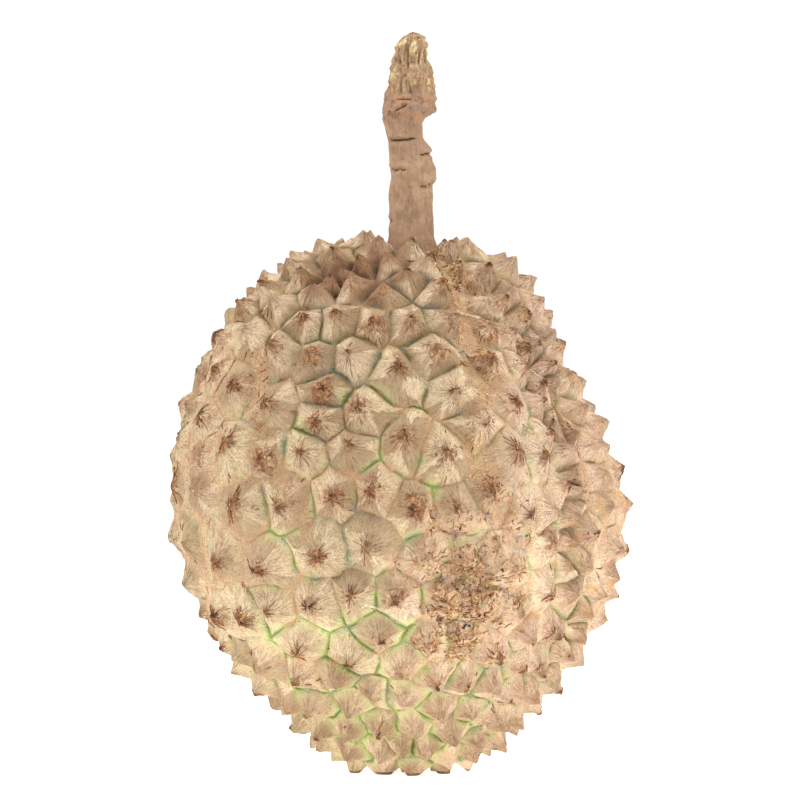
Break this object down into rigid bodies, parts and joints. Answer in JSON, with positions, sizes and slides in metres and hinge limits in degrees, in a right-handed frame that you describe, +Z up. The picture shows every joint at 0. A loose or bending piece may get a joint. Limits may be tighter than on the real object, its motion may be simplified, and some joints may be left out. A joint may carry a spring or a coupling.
{
  "type": "whole durian fruit",
  "caption": "Whole ripe durian: a rounded, faintly lobed husk covered in blunt pyramid spines, standing on its blossom end with the cut woody stalk on top.",
  "frame": {"origin": "middle of the fruit's own footprint box, on the ground that it stands on", "axes": "+Z up, from the blossom end to the stalk; -Y is the side with the broadest lobe; +X is to the right of someone looking at that side"},
  "size_m": [0.1662, 0.1586, 0.2665],
  "materials": {
    "husk": "dry, matt, fibrous rind",
    "stalk": "dry, matt bark"
  },
  "bodies": {
    "root": {"husk": "husk", "stalk": "stalk"}
  },
  "joints": []
}
